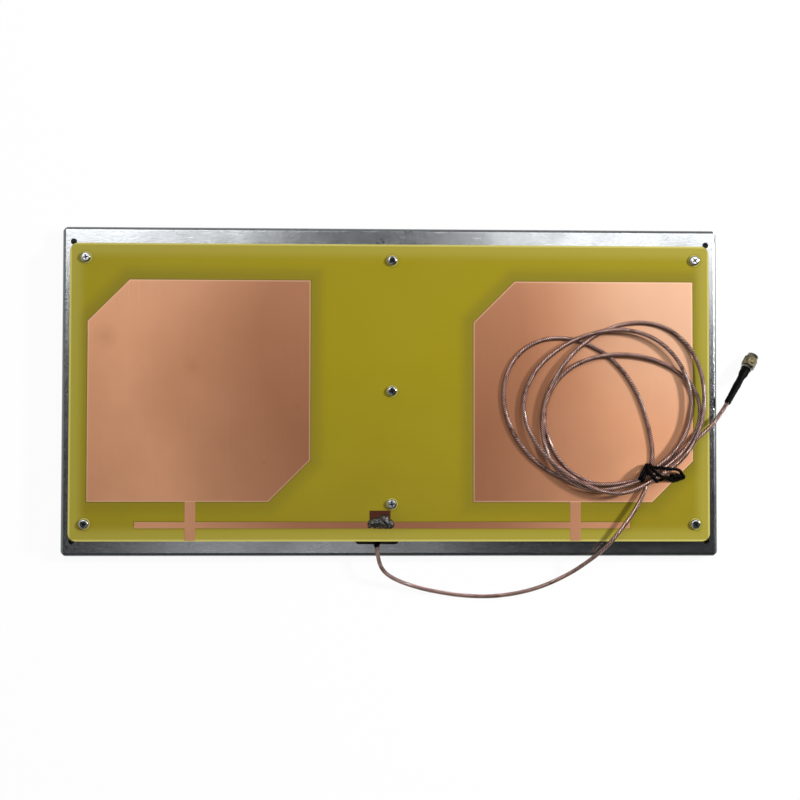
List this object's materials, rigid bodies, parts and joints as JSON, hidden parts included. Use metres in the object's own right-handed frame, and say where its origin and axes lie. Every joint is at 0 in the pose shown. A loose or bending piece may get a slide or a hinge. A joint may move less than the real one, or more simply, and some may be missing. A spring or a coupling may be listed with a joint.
{
  "type": "rfid reader antenna",
  "caption": "Opened flat panel antenna: copper patch board on spacers over a folded reflector sheet, with a coiled coaxial lead and a threaded plug.",
  "frame": {"origin": "under the middle of the reflector sheet, at the height of the surface it stands on", "axes": "+X along the sheet's long side, +Y across it, away from the lead's exit, +Z out of the board"},
  "size_m": [0.4272, 0.2265, 0.0291],
  "materials": {
    "galvanised_steel": "zinc-coated sheet, fine spangle, scuffed",
    "fibreglass": "glass-fibre epoxy laminate, translucent yellow",
    "copper": "rolled copper foil, matt, stained",
    "solder": "dull solder, lumpy",
    "shrink_sleeve": "black shrink tubing",
    "white_polymer": "white fluoropolymer",
    "silvered_wire": "silver-plated copper",
    "cord_jacket": "clear brown jacket over a silvered braid",
    "tie_plastic": "black plastic twist tie",
    "plug_plating": "nickel-plated brass, turned",
    "gasket_rubber": "silicone rubber",
    "gilt_brass": "gold-plated brass",
    "screw_steel": "zinc-plated steel screw",
    "spacer_nylon": "black nylon"
  },
  "bodies": {
    "antenna": {"reflector_tray": "galvanised_steel", "antenna_board": "fibreglass", "patch_copper": "copper", "feed_solder": "solder", "ground_solder": "solder", "exit_sleeve": "shrink_sleeve", "connector_sleeve": "shrink_sleeve", "cable_dielectric": "white_polymer", "insulator": "white_polymer", "centre_conductor": "silvered_wire", "cable_braid": "silvered_wire", "cable_lead": "cord_jacket", "cable_coil": "cord_jacket", "cable_tail": "cord_jacket", "cable_tie": "tie_plastic", "connector_body": "plug_plating", "crimp_ferrule": "plug_plating", "retaining_ring": "plug_plating", "gasket": "gasket_rubber", "contact_pin": "gilt_brass", "board_screw_1": "screw_steel", "board_screw_2": "screw_steel", "board_screw_3": "screw_steel", "board_screw_4": "screw_steel", "board_screw_5": "screw_steel", "board_screw_6": "screw_steel", "board_screw_7": "screw_steel", "rear_nut_1": "screw_steel", "rear_nut_2": "screw_steel", "rear_nut_3": "screw_steel", "rear_nut_4": "screw_steel", "rear_nut_5": "screw_steel", "rear_nut_6": "screw_steel", "rear_nut_7": "screw_steel", "spacer_1": "spacer_nylon", "spacer_2": "spacer_nylon", "spacer_3": "spacer_nylon", "spacer_4": "spacer_nylon", "spacer_5": "spacer_nylon", "spacer_6": "spacer_nylon", "spacer_7": "spacer_nylon"},
    "coupling_nut": {"coupling_nut": "plug_plating"}
  },
  "joints": [
    {"name": "coupling_nut_spin", "type": "hinge", "parent": "antenna", "child": "coupling_nut", "pos_m": [0.2243, 0.0231, 0.0036], "axis": [0.5205, 0.7688, -0.3714], "continuous": true}
  ]
}
